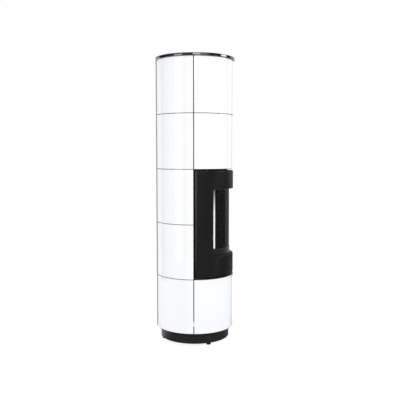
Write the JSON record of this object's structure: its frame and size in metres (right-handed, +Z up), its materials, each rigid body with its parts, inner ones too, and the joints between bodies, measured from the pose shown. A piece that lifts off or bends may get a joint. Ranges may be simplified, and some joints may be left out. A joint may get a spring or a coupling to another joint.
{
  "type": "tiled stove",
  "caption": "Tall round wood stove clad in white glazed tiles, with a curved black door, a deep window, a plinth drum on levelling feet and a rear flue outlet.",
  "frame": {"origin": "on the stove's vertical axis at floor level, where the levelling feet stand", "axes": "+Z up; the middle of the door and its window faces -Y; the flue outlet is at +Y; +X is the handle side"},
  "size_m": [0.546, 0.546, 1.9173],
  "materials": {
    "white_glaze": "glossy white glazed ceramic tile",
    "black_paint": "satin black stove paint, powder coated",
    "handle_paint": "satin black handle",
    "black_gloss": "glossy black top plate",
    "charcoal_paint": "satin charcoal plinth",
    "foot_steel": "black levelling foot",
    "grey_sheet": "grey painted sheet steel",
    "plain_steel": "plain sheet steel",
    "cast_iron": "dark cast iron and heat-proof black steel",
    "fire_brick": "matt buff fire brick",
    "storage_stone": "rough grey heat-storage stone",
    "door_glass": "clear ceramic glass over a dark firebox",
    "seal_rope": "dark braided rope seal"
  },
  "bodies": {
    "stove": {"tile_front_left_1": "white_glaze", "tile_front_left_4": "white_glaze", "tile_front_left_5": "white_glaze", "tile_front_right_1": "white_glaze", "tile_front_right_4": "white_glaze", "tile_front_right_5": "white_glaze", "tile_left_1": "white_glaze", "tile_left_2": "white_glaze", "tile_left_3": "white_glaze", "tile_left_4": "white_glaze", "tile_left_5": "white_glaze", "tile_right_1": "white_glaze", "tile_right_2": "white_glaze", "tile_right_3": "white_glaze", "tile_right_4": "white_glaze", "tile_right_5": "white_glaze", "joint_spacer": "white_glaze", "plinth": "charcoal_paint", "base_plate": "plain_steel", "back_panel": "grey_sheet", "top_plate": "black_gloss", "lower_drum": "plain_steel", "air_spigot": "plain_steel", "valve_plate": "cast_iron", "spacer_ring": "plain_steel", "firebox_body": "cast_iron", "firebox_ceiling": "cast_iron", "front_frame": "cast_iron", "fire_brick_right": "fire_brick", "fire_brick_back": "fire_brick", "fire_brick_left": "fire_brick", "baffle": "fire_brick", "hearth_stone": "fire_brick", "ash_shaft": "plain_steel", "ash_box": "plain_steel", "upper_drum": "plain_steel", "smoke_box": "cast_iron", "flue_collar": "cast_iron", "storage_stone_1": "storage_stone", "storage_stone_2": "storage_stone", "hinge_bracket_lower": "cast_iron", "hinge_bracket_upper": "cast_iron", "latch_keeper": "cast_iron", "carrier_ring_1": "plain_steel", "carrier_ring_2": "plain_steel", "carrier_ring_3": "plain_steel", "carrier_ring_4": "plain_steel"},
    "door": {"door_frame": "black_paint", "door_liner": "plain_steel", "door_glass": "door_glass", "glass_retainer": "cast_iron", "door_seal": "seal_rope"},
    "handle": {"door_handle": "handle_paint", "latch_tongue": "cast_iron"},
    "air_lever": {"air_valve": "plain_steel"},
    "grate": {"grate": "cast_iron"},
    "foot_front_left": {"levelling_foot_front_left": "foot_steel"},
    "foot_front_right": {"levelling_foot_front_right": "foot_steel"},
    "foot_rear_left": {"levelling_foot_rear_left": "foot_steel"},
    "foot_rear_right": {"levelling_foot_rear_right": "foot_steel"}
  },
  "joints": [
    {"name": "door_hinge", "type": "hinge", "parent": "stove", "child": "door", "pos_m": [-0.22833, -0.10663, 0.8115], "axis": [0, 0, -1], "range_deg": [0, 110]},
    {"name": "handle_turn", "type": "hinge", "parent": "door", "child": "handle", "pos_m": [0.22559, -0.10775, 0.8115], "axis": [-0.9024, 0.431, 0], "range_deg": [0, 90]},
    {"name": "air_lever_swing", "type": "hinge", "parent": "stove", "child": "air_lever", "pos_m": [0, 0, 0.452], "axis": [0, 0, 1], "range_deg": [-20, 20]},
    {"name": "grate_turn", "type": "hinge", "parent": "stove", "child": "grate", "pos_m": [0, 0, 0.58], "axis": [0, 0, 1], "range_deg": [0, 60]},
    {"name": "foot_front_left_screw", "type": "slide", "parent": "stove", "child": "foot_front_left", "axis": [0, 0, -1], "range_m": [0, 0.02]},
    {"name": "foot_front_right_screw", "type": "slide", "parent": "stove", "child": "foot_front_right", "axis": [0, 0, -1], "range_m": [0, 0.02]},
    {"name": "foot_rear_left_screw", "type": "slide", "parent": "stove", "child": "foot_rear_left", "axis": [0, 0, -1], "range_m": [0, 0.02]},
    {"name": "foot_rear_right_screw", "type": "slide", "parent": "stove", "child": "foot_rear_right", "axis": [0, 0, -1], "range_m": [0, 0.02]}
  ]
}
